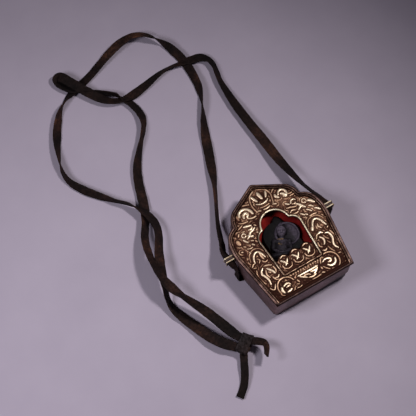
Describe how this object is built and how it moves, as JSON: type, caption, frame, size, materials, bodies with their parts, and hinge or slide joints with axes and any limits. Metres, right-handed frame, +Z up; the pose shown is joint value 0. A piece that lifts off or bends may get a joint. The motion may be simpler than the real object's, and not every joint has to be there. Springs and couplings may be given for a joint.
{
  "type": "ghau amulet box",
  "caption": "Portable shrine box with a gabled raised metal front that lifts off a rear pan, a lobed window on a clay figure, side loops and a knotted woven strap.",
  "frame": {"origin": "on the floor, below the middle of the front plate's height and width, with the box on its back", "axes": "+Z up and out of the decorated front, +Y to the gable's tip, +X to the viewer's right"},
  "size_m": [0.2183, 0.4072, 0.039],
  "materials": {
    "raised_front": "worn gilt over dark copper",
    "rim_copper": "smooth tarnished copper",
    "bright_wire": "polished by wear",
    "wall_copper": "dull tarnished copper",
    "packing": "undyed wadding",
    "red_cloth": "matt red cloth",
    "clay": "matt dark painted clay",
    "strap": "worn dark brown webbing"
  },
  "bodies": {
    "rear_case": {"pan_band": "wall_copper", "back_plate": "wall_copper", "packing_pad": "packing", "red_lining": "red_cloth", "clay_figure": "clay", "strap_under": "strap", "strap_left": "strap", "strap_right": "strap", "knot": "strap", "tail_short": "strap", "tail_long": "strap"},
    "front_case": {"front_plate": "raised_front", "rim_edge": "rim_copper", "rim_rope_wire": "bright_wire", "window_wire": "bright_wire", "front_skirt": "wall_copper", "left_loop": "wall_copper", "right_loop": "wall_copper", "left_loop_wires": "bright_wire", "right_loop_wires": "bright_wire", "strap_left_drop": "strap", "strap_right_drop": "strap", "strap_left_lead": "strap", "strap_right_lead": "strap"}
  },
  "joints": [
    {"name": "front_lift", "type": "slide", "parent": "rear_case", "child": "front_case", "axis": [0, 0, 1], "range_m": [0, 0.05]}
  ]
}
